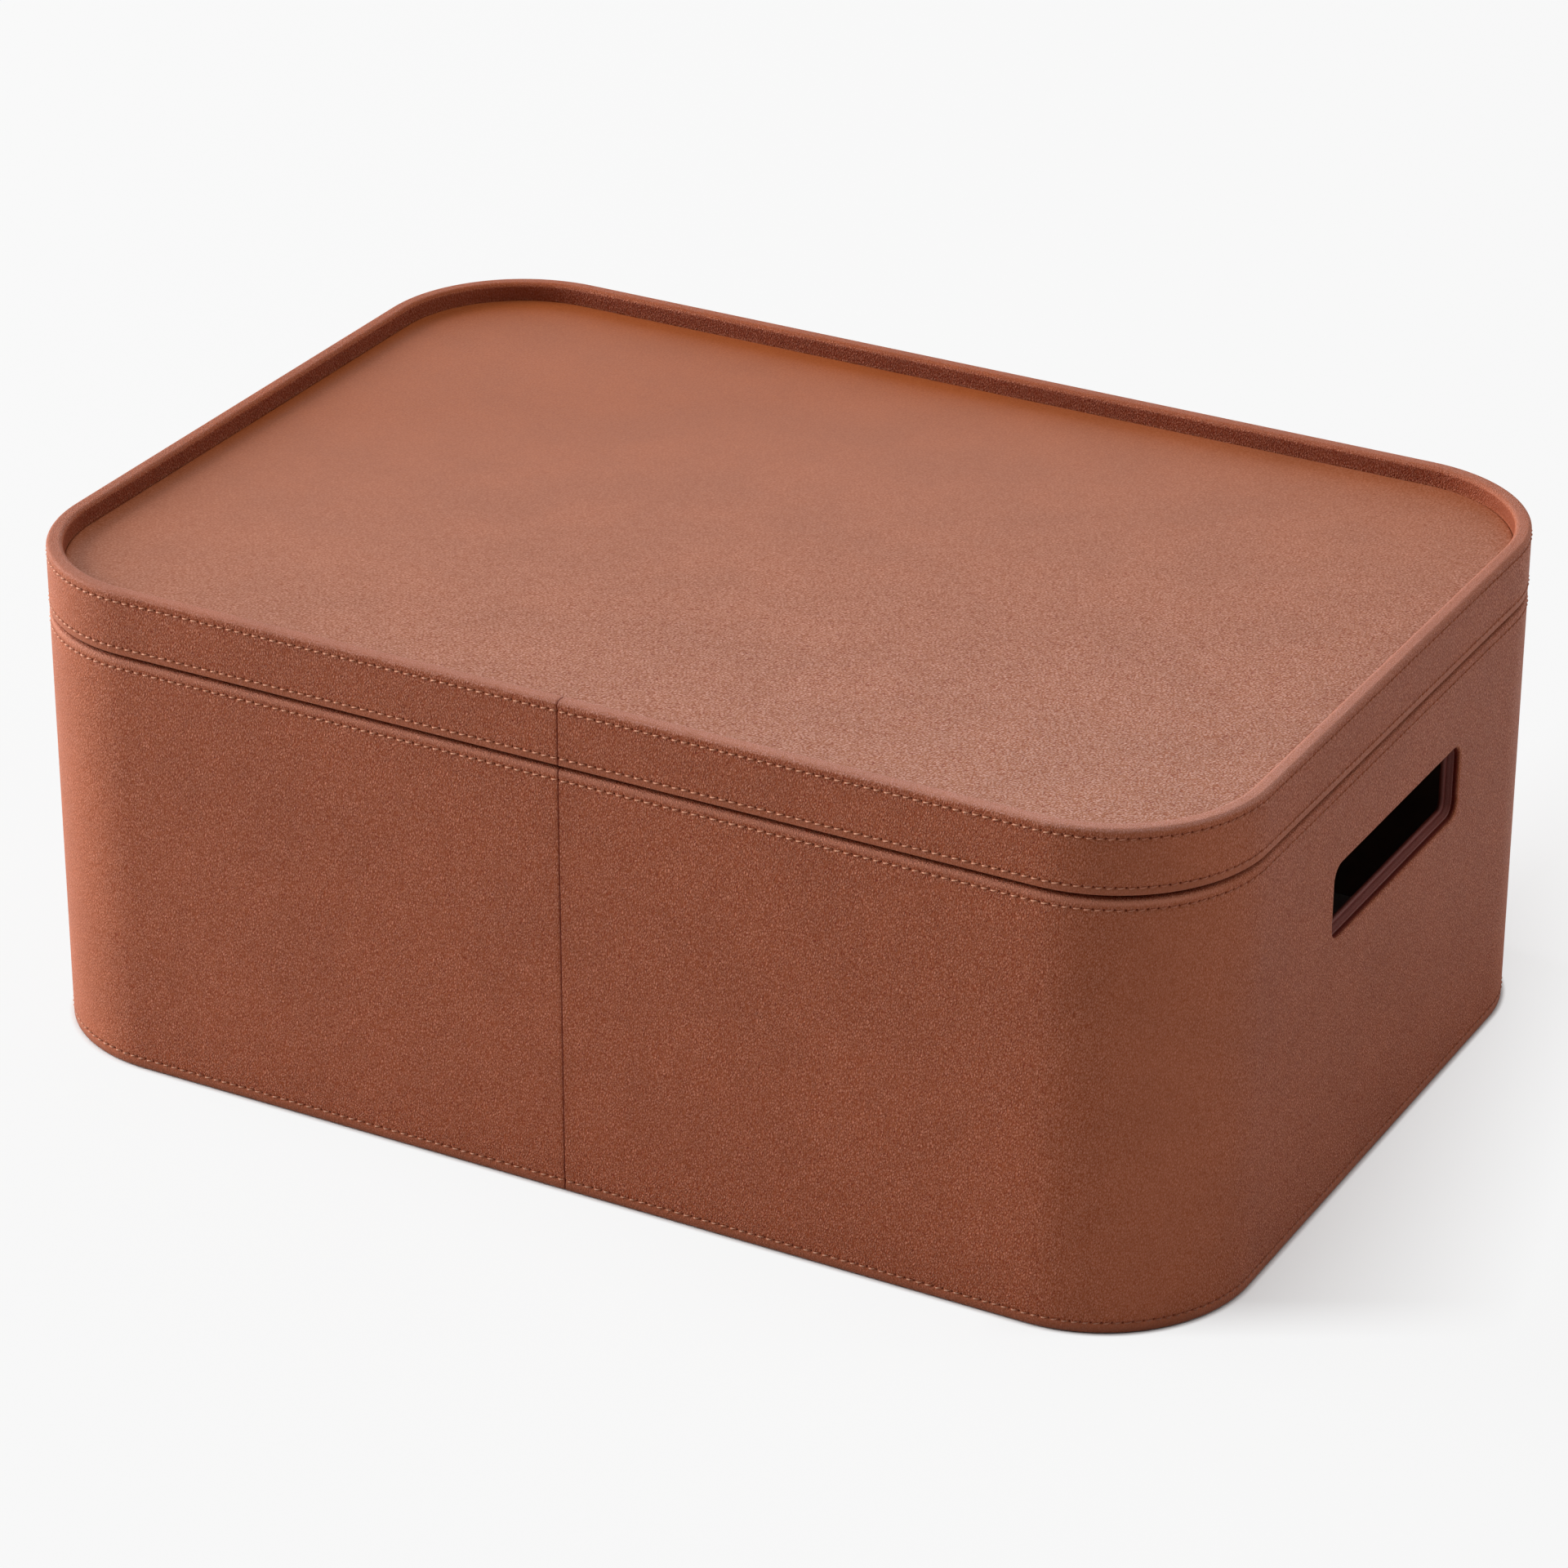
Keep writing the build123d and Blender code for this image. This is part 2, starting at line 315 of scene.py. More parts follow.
def swept_points(stations, section, lift=None):
    """Grid of points, one line per station; lift moves them along the cross-section's outward directions."""
    points = np.array(section)
    inset = np.tile(points[:, 0], (len(stations), 1))
    height = np.tile(points[:, 1], (len(stations), 1))
    if lift is not None:
        normals = section_normals(section)
        inset = inset + lift * normals[:, 0]
        height = height + lift * normals[:, 1]
    x, y = place(np.asarray(stations)[:, None], inset)
    return np.stack([x, y, height], axis=2)


def window_loops(stations, columns, section, middle, rings):
    """What is meshed round a hand slot: its border in the outer wall and in the inner wall, as (station, row)
    numbers, and the loops of (along, up, inset, painted shade) points between them. Rings are (margin, inset,
    painted shade)."""
    heights = [height for inset, height in section]
    reach = window_height / 2 + tolerance
    found = [k for k, height in enumerate(heights) if abs(height - slot_middle) < reach]
    outer, inner = found[: window_rows + 1], found[window_rows + 1:][::-1]
    inside = [i for i in columns if abs(stations[i] - middle) < window_width / 2]
    across, up = len(inside) - 1, window_rows
    border = [(inside[k], 0) for k in range(across)]
    border += [(inside[-1], k) for k in range(up)]
    border += [(inside[across - k], up) for k in range(across)]
    border += [(inside[0], up - k) for k in range(up)]
    distance, start = [], 0
    for count, length in ((across, slot_side), (up, slot_upright)) * 2:
        distance.append(start + np.arange(count) / count * length)
        start += length
    distance = np.concatenate(distance)
    along = np.array([stations[i] - middle for i, k in border])
    rise = np.array([heights[outer[k]] - slot_middle for i, k in border])
    edge_along, edge_rise = slot_place(distance, rings[0][0])
    loops = []
    for share in (0.35, 0.7):
        part_along = along + (edge_along - along) * share
        part_rise = rise + (edge_rise - rise) * share
        loops.append((part_along, part_rise, rings[0][1], 0.0))
    for margin, inset, crease in rings:
        loops.append((*slot_place(distance, margin), inset, crease))
    return [(i, outer[k]) for i, k in border], [(i, inner[k]) for i, k in border], loops


def sweep(name, stations, section, closed=False, lift=None, rings=(), coarse=None, fine_rows=(), crease=None):
    """A cross-section carried along the outline: a closed ring, or a stretch with flat ends. With rings it
    has the hand slots. Coarse are the numbers of the stations that rows outside fine_rows use."""
    rows = len(section)
    # How much painted shade darkens each point: in stitch holes, along the seam, inside the rim and in the
    # grooves round the hand slots
    creases = [0.0] * (len(stations) * rows) if crease is None else list(crease.ravel())
    points = [tuple(p) for p in swept_points(stations, section, lift).reshape(-1, 3)]
    every = list(range(len(stations)))
    coarse = every if coarse is None else coarse
    skipped = set()
    faces = []
    for middle in slot_stations if rings else ():
        outer, inner, loops = window_loops(stations, coarse, section, middle, rings)
        for border in (outer, inner):
            first, last = min(i for i, k in border), max(i for i, k in border)
            low, high = min(k for i, k in border), max(k for i, k in border)
            skipped.update((i, k) for i in coarse if first <= i < last for k in range(low, high))
        chain = [[i * rows + k for i, k in outer]]
        for along, rise, inset, shade in loops:
            x, y = place(middle + along, inset)
            chain.append(list(range(len(points), len(points) + len(along))))
            points.extend(zip(x, y, slot_middle + rise))
            creases.extend([shade] * len(along))
        chain.append([i * rows + k for i, k in inner])
        count = len(outer)
        for a, b in zip(chain, chain[1:]):
            faces.extend((a[k], a[(k + 1) % count], b[(k + 1) % count], b[k]) for k in range(count))
    for k in range(rows):
        below, above = k, (k + 1) % rows
        kinds = (below in fine_rows, above in fine_rows)
        columns = every if all(kinds) else coarse
        pairs = list(zip(columns, columns[1:] + columns[:1]))
        for i, j in pairs if closed else pairs[:-1]:
            if (i, k) in skipped:
                continue
            foot, top = (i, j), (j, i)
            if kinds[0] and not all(kinds):
                foot = range(i, j + 1)
            if kinds[1] and not all(kinds):
                top = range(j, i - 1, -1)
            faces.append([n * rows + below for n in foot] + [n * rows + above for n in top])
    if not closed:
        faces.append(range(rows))
        faces.append(range((len(stations) - 1) * rows, len(stations) * rows))
    return make_object(name, points, faces, crease=creases)


def slab(name, section, along=24, turn=12, across=16):
    """A rounded sheet or pad: a cross-section that starts and ends at the corners' middles, carried all
    round, with the rectangle between those middles filled by a grid above and below."""
    stations = round_stations(along, turn, across)
    columns, rows = len(stations), len(section)
    points = [tuple(p) for p in swept_points(stations, section).reshape(-1, 3)]
    faces = [
        (i * rows + k, (i + 1) % columns * rows + k, (i + 1) % columns * rows + k + 1, i * rows + k + 1)
        for i in range(columns)
        for k in range(rows - 1)
    ]
    for inset, height in (section[0], section[-1]):
        start = len(points)
        depths = np.linspace(-straight_end / 2, straight_end / 2, across + 1)
        for x in np.linspace(-straight_half, straight_half, along + 1):
            points.extend((x, y, height) for y in depths)
        for i in range(along):
            for k in range(across):
                corner = start + i * (across + 1) + k
                faces.append((corner, corner + across + 1, corner + across + 2, corner + 1))
    made = make_object(name, points, faces)
    trimmed = bmesh.new()
    trimmed.from_mesh(made.data)
    bmesh.ops.dissolve_degenerate(trimmed, dist=merge_distance, edges=trimmed.edges)
    trimmed.to_mesh(made.data)
    trimmed.free()
    return made


def tube_round_slot(name, middle, section, steps=200):
    """A closed cross-section of (margin, inset, painted shade) points carried round a hand slot."""
    distance = np.arange(steps) / steps * 2 * (slot_side + slot_upright)
    rows = len(section)
    points = np.zeros((steps, rows, 3))
    creases = np.tile([crease for margin, inset, crease in section], steps)
    for k, (margin, inset, crease) in enumerate(section):
        along, rise = slot_place(distance, margin)
        x, y = place(middle + along, inset)
        points[:, k] = np.stack([x, y, slot_middle + rise], axis=1)
    faces = []
    for i in range(steps):
        line, next_line = i * rows, (i + 1) % steps * rows
        for k in range(rows):
            above = (k + 1) % rows
            faces.append((line + k, next_line + k, next_line + above, line + above))
    return make_object(name, points.reshape(-1, 3), faces, crease=creases)


# Leather bands

# Steps from each stitch hole and from the seam's edges at which a band is meshed, and how near to a line of
# stitching it is meshed finely
hole_steps = np.array([-0.62, -0.28, 0, 0.28, 0.62]) * mm
seam_steps = np.array([0, 0.05, 0.13, 0.25, 0.42, 0.7, 1.05]) * mm
fine_reach = 1.1 * mm


def band_stations():
    """Stations of a leather band, close together at each stitch hole and at the seam, and the numbers of
    those that its plain parts use: one for each stitch, and three round the hand slots."""
    holes = np.arange(1, 2 * stitches_per_half) * stitch_pitch
    middles = (np.arange(2 * stitches_per_half) + 0.5) * stitch_pitch
    edge = seam_gap / 2 + seam_steps
    round_holes = (holes[:, None] + hole_steps).ravel()
    stations = np.sort(np.concatenate([round_holes, middles, edge, 2 * half_length - edge]))
    from_slot = np.min([abs(stations - middle) for middle in slot_stations], axis=0)
    from_end = np.minimum(stations, 2 * half_length - stations)
    from_middle = abs((stations % stitch_pitch) - stitch_pitch / 2)
    plain = (from_middle < tolerance) | (from_end < stitch_pitch / 2)
    beside_hole = abs(from_middle - (stitch_pitch / 2 - hole_steps[-1])) < tolerance
    near_slot = (from_slot < window_width / 2 + stitch_pitch) & beside_hole
    return stations, [int(i) for i in np.flatnonzero(plain | near_slot)]


def falloff(distance, reach):
    """1 at no distance, fading smoothly to nothing past the reach."""
    return np.exp(-((distance / reach) ** 2))


def rounded_edge(distance, radius):
    """How far a turned edge of that radius lies below the face, at a distance from its tip."""
    short = np.clip(radius - distance, 0, radius)
    return radius - np.sqrt(radius**2 - short**2)


def leather_relief(stations, section, outer_count, rows):
    """How far the outer leather face stands out or sinks at each grid point, and how much painted shade
    darkens it in stitch holes, along the seam and inside the rim.
    """
    points = np.array(section)
    travelled = np.concatenate([[0], np.cumsum(np.linalg.norm(np.diff(points, axis=0), axis=1))])
    from_hole = np.abs((stations + stitch_pitch / 2) % stitch_pitch - stitch_pitch / 2)[:, None]
    lift = np.zeros((len(stations), len(section)))
    crease = np.zeros_like(lift)
    for row in rows:
        heights = points[:outer_count, 1]
        upper = int(np.argmax(heights >= row))
        share = (row - heights[upper - 1]) / (heights[upper] - heights[upper - 1])
        at_row = travelled[upper - 1] + share * (travelled[upper] - travelled[upper - 1])
        from_row = (travelled - at_row)[None, :]
        hole = falloff(from_hole, hole_length) * falloff(from_row - hole_rise, hole_height)
        lift -= pinch_depth * falloff(from_row, pinch_reach)
        lift -= bed_depth * falloff(from_row, bed_reach)
        lift -= hole_depth * hole
        # Each stitch hole is sunk and also darkened with painted shade
        crease = np.maximum(crease, hole)
    from_start = (stations - stations[0])[:, None]
    from_end = (stations[-1] - stations)[:, None]
    lift += seam_lap_raise * falloff(from_start, seam_lap_reach) - rounded_edge(from_start, seam_lap_round)
    lift -= seam_sink * falloff(from_end, seam_sink_reach) + rounded_edge(from_end, seam_sink_round)
    seam = np.maximum(falloff(from_start, seam_lap_dark), falloff(from_end, seam_sink_dark))
    crease = np.maximum(crease, np.broadcast_to(seam, crease.shape))
    inner_wall = (points[:, 0] > rim_inner - rim_shade_margin) & (points[:, 1] > tray_floor)
    crease = np.maximum(crease, rim_shade * inner_wall[None, :])
    covered = np.arange(len(section))[None, :] < outer_count
    return np.where(covered, lift, 0), np.where(covered, crease, 0)


def leather_band(name, outer, inside, rows, rings=()):
    """A band round the box. Outer and inside are its two faces' points, and rows its lines of stitching."""
    stations, coarse = band_stations()
    section = outer + inside
    lift, crease = leather_relief(stations, section, len(outer), rows)
    fine_rows = {
        k
        for k, (inset, height) in enumerate(outer)
        for row in rows
        if inset < tolerance and abs(height - row) < fine_reach
    }
    return sweep(
        name, stations, section, lift=lift, rings=rings, coarse=coarse, fine_rows=fine_rows, crease=crease
    )


near_row = (-0.62, -0.36, -0.18, 0, 0.18, 0.36, 0.62)

body_outer = rows_at(hem_width, hem_lift) + rows_at(hem_width / 2, hem_lift)
body_outer += arc(foot_roll, hem_lift + foot_roll, foot_roll, 270, 180, 5)
body_outer += rows_round(body_foot_row, (-2.2, -1.6, -1.05) + near_row + (1.05, 1.7, 3.0))
body_outer += rows_at(0, 14 * mm, 40 * mm, 65 * mm)
body_outer += window_rows_at(0)
body_outer += rows_at(0, 138 * mm)
body_outer += rows_round(body_top_row, (-3.2, -1.8, -1.05) + near_row + (1.05, 1.6))
body_outer += arc(body_top_roll, body_height - body_top_roll, body_top_roll, 180, 90, 8)
body_outer += rows_at(wall_inner - 1.1 * mm, body_height)
body_outer += arc(wall_inner - body_inner_roll, body_height - body_inner_roll, body_inner_roll, 90, 0, 2)
body_inside = rows_at(wall_inner, wall_board_top)
body_inside += arc(body_top_roll, wall_board_top - wall_board_round, wall_board_round, 90, 180, 3)
body_inside += window_rows_at(leather)[::-1]
body_inside += rows_at(leather, base_board_foot) + rows_at(hem_width, base_board_foot)

# Leather rolled into the hand slots and over the board's cut edge: margin into the slot, depth below the face
# and how much painted shade darkens the leather there, in the groove round the slot
slot_roll = (
    (-1.7, 0.0, 0),
    (-1.1, 0.02, 0),
    (-0.72, 0.09, 0),
    (-0.42, 0.21, 0),
    (-0.19, 0.4, 0.1),
    (-0.05, 0.66, 0.4),
    (0.03, 0.95, 0.8),
    (0.14, 1.12, 1),
    (0.33, 1.17, 1),
    (0.34, 2.2, 1),
    (0.31, 2.2, 1),
    (0.31, 1.3, 1),
)
slot_rings = [(margin * mm, depth * mm, crease) for margin, depth, crease in slot_roll]

lid_outer = rows_at(lid_inner, lid_foot) + rows_at(lid_inner / 2, lid_foot)
lid_outer += arc(lid_foot_roll, lid_foot + lid_foot_roll, lid_foot_roll, 270, 180, 4)
lid_outer += rows_round(lid_foot_row, (-1.5, -1.0) + near_row + (1.05, 1.7, 3.0))
lid_outer += rows_at(0, 161 * mm, 165 * mm)
lid_outer += rows_round(lid_rim_row, (-3.2, -1.8, -1.05) + near_row + (1.05, 1.45))
lid_outer += arc(rim_outer_roll, lid_top - rim_outer_roll, rim_outer_roll, 180, 90, 10)
lid_outer += arc(rim_inner - rim_inner_roll, lid_top - rim_inner_roll, rim_inner_roll, 90, 0, 7)
lid_outer += rows_at(rim_inner, 170 * mm, 168.4 * mm, lid_board_top)
lid_inside = rows_at(rail_inner, lid_board_top)
lid_inside += arc(rail_inner - rail_inner_round, rail_top - rail_inner_round, rail_inner_round, 0, 90, 2)
lid_inside += arc(rim_outer_roll, rail_top - rail_outer_round, rail_outer_round, 90, 180, 3)
lid_inside += rows_at(leather, rail_foot) + rows_at(lid_inner, rail_foot)

body_leather = leather_band(
    "body_leather_band", body_outer, body_inside, (body_foot_row, body_top_row), slot_rings
)
lid_leather = leather_band("lid_leather_band", lid_outer, lid_inside, (lid_foot_row, lid_rim_row))


# Stitches

def stitch_row(name, row, seed):
    """A line of separate slanting stitches, each arched from one hole to the next and thinner towards its
    end."""
    random = np.random.RandomState(seed)
    steps, sides = thread_steps, thread_sides
    share = np.linspace(0, 1, steps + 1)
    arch = np.sin(math.pi * share) ** arch_fullness
    thickness = tip_thickness + (1 - tip_thickness) * np.sin(math.pi * share**tip_lead)
    round_angles = np.arange(sides) / sides * 2 * math.pi
    points, faces, strand = [], [], []
    for number in range(2 * stitches_per_half):
        middle = (number + 0.5) * stitch_pitch + random.normal(0, place_spread)
        along = (share - 0.5) * stitch_span * (1 + random.normal(0, span_spread))
        slope = stitch_slope * (1 + random.normal(0, slope_spread))
        rise = along * slope + stitch_bow * (arch - bow_middle) + random.normal(0, rise_spread)
        out = thread_end + (thread_stand - thread_end) * arch
        start = len(points)
        for k in range(steps + 1):
            heights = row + rise[k] + thickness[k] * thread_width / 2 * np.cos(round_angles)
            insets = -out[k] - thickness[k] * thread_height / 2 * np.sin(round_angles)
            x, y = place(np.full(sides, middle + along[k]), insets)
            points.extend(zip(x, y, heights))
            strand.extend(share[k] + round_angles / (4 * math.pi) + number * strand_shift)
        for k in range(steps):
            for a in range(sides):
                b = (a + 1) % sides
                low, high = start + k * sides, start + (k + 1) * sides
                faces.append((low + a, high + a, high + b, low + b))
        faces.append(tuple(start + a for a in range(sides)))
        faces.append(tuple(start + steps * sides + a for a in range(sides)))
    return make_object(name, points, faces, sharp_angle=80, strand=strand)


stitching = {
    "body_top": stitch_row("body_top_stitches", body_top_row, 11),
    "body_foot": stitch_row("body_foot_stitches", body_foot_row, 12),
    "lid_foot": stitch_row("lid_foot_stitches", lid_foot_row, 13),
    "lid_rim": stitch_row("lid_rim_stitches", lid_rim_row, 14),
}

# Tray leather, laid in the lid's rim and turned down at its edge

tray_edge = rim_inner + tray_gap
tray_edge_turn = ((1.2, 0.01), (0.7, 0.03), (0.4, 0.08), (0.2, 0.16), (0.07, 0.28), (0.01, 0.45))
tray_rows = (24 * mm, 10 * mm)
tray_section = [(inset, tray_floor) for inset in (corner_radius, *tray_rows)]
tray_section += [(tray_edge + across * mm, tray_floor - down * mm) for across, down in tray_edge_turn]
tray_section += [(inset, lid_board_top) for inset in (tray_edge, tray_rows[0], corner_radius)]
tray_leather = slab("lid_top_leather_panel", tray_section, along=40, turn=24, across=28)

# Hand slot liners: a leather tube with a turned front edge, a raised lip at its inner end and a flange behind
# it. Their points are (margin, inset, painted shade), with painted shade in the hollow behind the front edge,
# where it meets the flange and at the lip's foot

liner_outside = slot_groove + 0.05 * mm
front_bead = 0.24 * mm
bead_turn = 0.8 * math.pi
bead_end = liner_outside + 1.8 * front_bead
hollow_start = liner_recess + 0.5 * mm
hollow_middle = liner_recess + 1.1 * mm
hollow_end = liner_recess + 1.9 * mm
liner_end = wall_inner + flange_thickness
lip_half = (lip_length + flange_thickness) / 2
lip_middle = liner_end - lip_half
lip_start = lip_middle - lip_half - 0.05 * mm
lip_turn = 0.3
lip_shade = 0.9
flange_edge = slot_groove - flange_width
flange_front = wall_inner + 0.02 * mm
flange_round = 0.3 * mm
liner_section = [(flange_edge, flange_front, 0), (liner_outside, flange_front, 0.6)]
liner_section += [
    (liner_outside + front_bead * (1 - math.cos(turn)), liner_recess + front_bead * (1 - math.sin(turn)), 0)
    for turn in np.linspace(0, bead_turn, 7)
]
liner_section += [
    (bead_end + 0.1 * mm, hollow_start, 0.4),
    ((bead_end + liner_bore) / 2, hollow_middle, 0.1),
    (liner_bore, hollow_end, 0.2),
    (liner_bore, lip_start, lip_shade),
]
for turn in np.linspace(lip_turn, math.pi, 12):
    lip_margin = liner_bore + lip_height * math.sin(turn)
    lip_inset = lip_middle - lip_half * math.cos(turn)
    liner_section.append((lip_margin, lip_inset, lip_shade * math.cos(turn) ** 8))
liner_section += [(flange_edge + flange_round, liner_end, 0), (flange_edge, liner_end - flange_round, 0)]
slot_liners = {
    side: tube_round_slot(f"{side}_slot_liner_tube", middle, liner_section)
    for side, middle in zip(("right", "left"), slot_stations)
}

# Suede linings and the sole

wall_lining_section = rows_at(wall_board_inner, base_board_top)
wall_lining_section += window_rows_at(wall_board_inner) + rows_at(wall_board_inner, wall_board_top)
wall_lining_section += rows_at(wall_inner, wall_board_top)
wall_lining_section += window_rows_at(wall_inner)[::-1] + rows_at(wall_inner, base_board_top)
lining_rings = [(slot_groove, wall_board_inner, 0), (slot_groove, wall_inner, 0)]
wall_lining = sweep(
    "wall_lining_suede", round_stations(24, 16, 64), wall_lining_section, closed=True, rings=lining_rings
)

collar_row = 150 * mm
collar_outside = rows_at(wall_inner, collar_foot, collar_row)
collar_outside += arc(wall_inner + collar_roll, collar_top - collar_roll, collar_roll, 180, 90, 4)
collar_outside += arc(collar_inner - collar_roll, collar_top - collar_roll, collar_roll, 90, 0, 4)
collar_outside += rows_at(collar_inner, collar_row, collar_foot)
collar_inside = rows_at(collar_inner - collar_lining_thickness, collar_foot)
collar_inside += arc(collar_inner - collar_roll, collar_top - collar_roll, collar_board_round, 0, 90, 3)
collar_inside += arc(wall_inner + collar_roll, collar_top - collar_roll, collar_board_round, 90, 180, 3)
collar_inside += rows_at(wall_inner + collar_lining_thickness, collar_foot)
collar_suede = sweep(
    "collar_lining_suede", round_stations(24, 20, 16), collar_outside + collar_inside, closed=True
)

pad_round = 0.9 * mm
pad_side = floor_lining_top - 0.35 * mm - pad_round
pad_section = rows_at(corner_radius, floor_lining_top) + rows_at(30 * mm, floor_lining_top - 0.02 * mm)
pad_section += rows_at(wall_inner + 6 * mm, floor_lining_top - 0.08 * mm)
pad_section += rows_at(wall_inner + 2.4 * mm, floor_lining_top - 0.2 * mm)
pad_section += arc(wall_inner + pad_round, pad_side, pad_round, 90, 180, 5)[:-1]
pad_section += rows_at(wall_inner, pad_side, base_board_top) + rows_at(corner_radius, base_board_top)
floor_pad = slab("floor_lining_pad", pad_section, along=30, turn=16, across=20)

ceiling_round = 0.8 * mm
lid_lining_section = rows_at(corner_radius, lid_board_foot) + rows_at(rail_inner, lid_board_foot)
lid_lining_section += rows_at(rail_inner, rail_foot) + rows_at(lid_inner, rail_foot)
lid_lining_section += arc(lid_inner + ceiling_round, collar_top - ceiling_round, ceiling_round, 180, 90, 4)
lid_lining_section += rows_at(corner_radius, collar_top)
lid_suede = slab("lid_lining_suede", lid_lining_section, along=24, turn=20, across=16)

sole_round = 0.5 * mm
sole_section = rows_at(corner_radius, 0)
sole_section += arc(sole_inset + sole_round, sole_round, sole_round, 270, 180, 4)
sole_section += arc(sole_inset + sole_round, sole_height - sole_round, sole_round, 180, 90, 4)
sole_section += rows_at(corner_radius, sole_height)
sole_felt = slab("sole_felt_pad", sole_section)


# Materials

def srgb(red, green, blue):
    """A colour given as on screen, 0 to 255, as linear light."""
    values = []
    for part in (red, green, blue):
        part /= 255
        values.append(part / 12.92 if part <= 0.04045 else ((part + 0.055) / 1.055) ** 2.4)
    return (*values, 1)


class Graph:
    """The nodes of a material or world, made one by one; inputs are values or other nodes' sockets."""

    def __init__(self, owner):
        self.owner = owner
        self.owner.use_nodes = True
        self.tree = owner.node_tree
        self.tree.nodes.clear()

    def node(self, kind, inputs=None, **settings):
        made = self.tree.nodes.new(f"ShaderNode{kind}")
        for key, value in settings.items():
            setattr(made, key, value)
        for key, value in (inputs or {}).items():
            if isinstance(value, bpy.types.NodeSocket):
                self.tree.links.new(value, made.inputs[key])
            else:
                made.inputs[key].default_value = value
        return made

    def math(self, operation, *values):
        return self.node("Math", dict(enumerate(values)), operation=operation).outputs[0]

    def vector(self, operation, *values):
        return self.node("VectorMath", dict(enumerate(values)), operation=operation).outputs["Vector"]

    def scaled(self, vector, scale):
        return self.node("VectorMath", {0: vector, "Scale": scale}, operation="SCALE").outputs["Vector"]

    def distance_along(self, vector, direction):
        return self.node("VectorMath", {0: vector, 1: direction}, operation="DOT_PRODUCT").outputs["Value"]

    def parts(self, vector):
        return self.node("SeparateXYZ", {"Vector": vector}).outputs

    def steps(self, value, low, high, to_low=0.0, to_high=1.0, kind="SMOOTHSTEP"):
        inputs = {"Value": value, "From Min": low, "From Max": high, "To Min": to_low, "To Max": to_high}
        return self.node("MapRange", inputs, interpolation_type=kind).outputs["Result"]

    def mix(self, share, first, second):
        inputs = {0: share, 6: first, 7: second}
        return self.node("Mix", inputs, data_type="RGBA").outputs[2]

    def noise(self, vector, scale, detail=2.0, roughness=0.5):
        inputs = {"Vector": vector, "Scale": scale, "Detail": detail, "Roughness": roughness}
        return self.node("TexNoise", inputs).outputs["Fac"]

    def kept_value(self, name):
        return self.node("Attribute", attribute_name=name, attribute_type="GEOMETRY").outputs["Fac"]

    def object_vector(self, stretch=(1, 1, 1)):
        coordinates = self.node("TexCoord").outputs["Object"]
        return self.node("Mapping", {"Vector": coordinates, "Scale": stretch}).outputs["Vector"]

    def finish(self, color, roughness, height, bump, **constant):
        normal = self.node("Bump", {"Height": height, "Distance": bump, "Strength": 1.0}).outputs["Normal"]
        inputs = {"Base Color": color, "Roughness": roughness, "Normal": normal}
        inputs.update((key.replace("_", " "), value) for key, value in constant.items())
        self.node("OutputMaterial", {"Surface": self.node("BsdfPrincipled", inputs).outputs["BSDF"]})
        return self.owner


# Leather grain: lengths are in shares of the grain size, scales per grain size, the rest in shares of relief
wander_scale = 0.45
wander_reach = 0.9
dome_edge = 0.35
dome_share = 0.45
wrinkle_scale = 1.5
wrinkle_share = 1.1
relief_middle = 0.76
corner_flattening = 1.1
pressed_flattening = 0.6
rim_flattening = 0.5

# Leather tones: a painted sheen makes the lid's panel and rim grow paler towards the front right-hand corner
grain_tint = (1, 1.8, 2.8)
darkest_tint = (0.2, 0.2, 0.2)
cloud_scale = 30
cloud_tones = (0.97, 1.06)
front_right = (0.55, -0.83, 0)
painted_sheen = (1.1, 3.0, 5.5)
sheen_from = -0.12
panel_color = srgb(156, 94, 67)
rim_warmth = (1.08, 1.0, 1.06)
shoulder_highlight_color = srgb(208, 137, 111)
# Painted shade in stitch holes, the seam's groove, the slot grooves and inside the rim: its colour and how
# far it takes over
crease_color = srgb(90, 16, 3)
crease_share = 0.95
leather_roughness = 0.5
dome_polish = 0.1
crease_roughness = 0.4

# Edges of the leather bands: grain pressed flat, a painted highlight on the front shoulder under the lid, the
# rim's turn, and painted shade under the lid's lower edge and near the floor
press_below_row = 0.5 * mm
press_above_row = 0.3 * mm
shoulder_drop = 1.2 * mm
shoulder_core = 0.2 * mm
shoulder_reach = 1.7 * mm
shoulder_highlight_share = 0.42
shoulder_facing = (0.2, 0.75)
rim_turn_start = 1.6 * mm
rim_turn_end = 0.3 * mm
lid_edge_shade = 0.14
foot_shade_height = 4.2 * mm
foot_shade = 0.6

# Thread: its strands and fuzz, where painted light makes it lighter, along a direction to the front left, and
# how far painted shade darkens it near the floor
strands_per_stitch = 5.0
strand_line = 0.3
strand_depth = 0.06 * mm
fuzz_scale = 5000
fuzz_share = 0.3
front_left = (-0.5, -0.85, 0)
painted_light_start = 0.015
painted_light_end = 0.05
thread_shade_height = 7 * mm
thread_shade = 0.4


